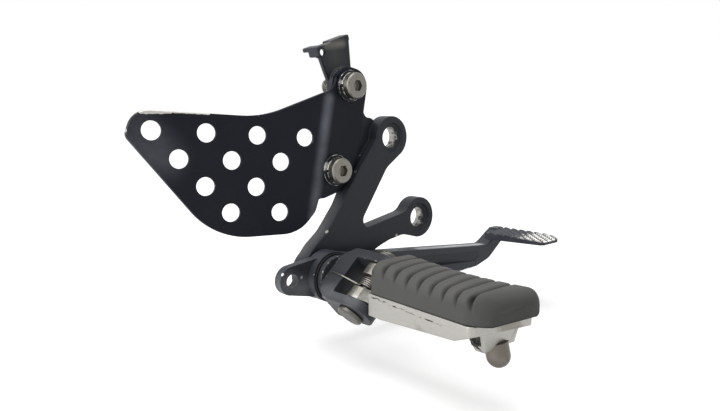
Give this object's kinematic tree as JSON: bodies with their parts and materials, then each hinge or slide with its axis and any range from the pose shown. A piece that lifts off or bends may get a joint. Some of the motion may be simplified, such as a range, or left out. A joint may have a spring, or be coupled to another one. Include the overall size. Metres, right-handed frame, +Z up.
{
  "type": "motorcycle rider footrest assembly",
  "caption": "Right-hand rider footrest: a painted Y bracket with perforated heel guard, brake pedal on the peg axis and a folding rubber-topped peg with feeler.",
  "frame": {"origin": "On the upper frame bolt's axis, at the bracket's seat face against the frame.", "axes": "X forward, Y inboard towards the frame, Z up; the frame bolts leave along -Y."},
  "size_m": [0.2256, 0.1441, 0.1367],
  "materials": {
    "bracket_paint": "satin black paint on cast aluminium",
    "guard_paint": "satin black paint on steel sheet",
    "screw_steel": "dull zinc-plated steel",
    "washer_steel": "dull zinc-plated steel",
    "pedal_paint": "satin black paint on cast aluminium, worn on the toe pad",
    "bush_bronze": "plain bearing bronze",
    "seal_rubber": "matte black rubber",
    "holder_paint": "satin black paint on cast aluminium",
    "bolt_steel": "zinc-plated steel",
    "peg_aluminium": "bare cast aluminium, scratched",
    "peg_rubber": "dusty dark grey rubber",
    "plate_steel": "plain steel",
    "feeler_steel": "scuffed brownish steel",
    "pin_steel": "blackened steel",
    "spring_steel": "oiled spring steel"
  },
  "bodies": {
    "bracket": {"main_bracket": "bracket_paint", "heel_guard": "guard_paint", "heel_guard_screws": "screw_steel", "heel_guard_lock_washers": "washer_steel", "heel_guard_washers": "washer_steel", "peg_holder": "holder_paint", "holder_bolt": "bolt_steel", "holder_washer": "bolt_steel", "pedal_inner_seal": "seal_rubber", "pedal_outer_seal": "seal_rubber", "hinge_pin": "pin_steel", "pin_washer": "pin_steel", "pin_clip": "pin_steel"},
    "pedal": {"brake_pedal": "pedal_paint", "pedal_bush": "bush_bronze"},
    "peg": {"footpeg": "peg_aluminium", "peg_rubber": "peg_rubber", "rubber_plate": "plate_steel", "rubber_screws": "bolt_steel", "bank_feeler": "feeler_steel", "fold_spring": "spring_steel"}
  },
  "joints": [
    {"name": "peg_fold", "type": "hinge", "parent": "bracket", "child": "peg", "pos_m": [-0.0485, -0.043, -0.0654], "axis": [-0.7431, 0, -0.6691], "range_deg": [0, 80], "stiffness_Nm_per_rad": 0.15, "springref_deg": -57.3},
    {"name": "pedal_pivot", "type": "hinge", "parent": "bracket", "child": "pedal", "pos_m": [-0.0485, -0.0136, -0.0654], "axis": [0, 1, 0], "range_deg": [-5, 12]}
  ]
}
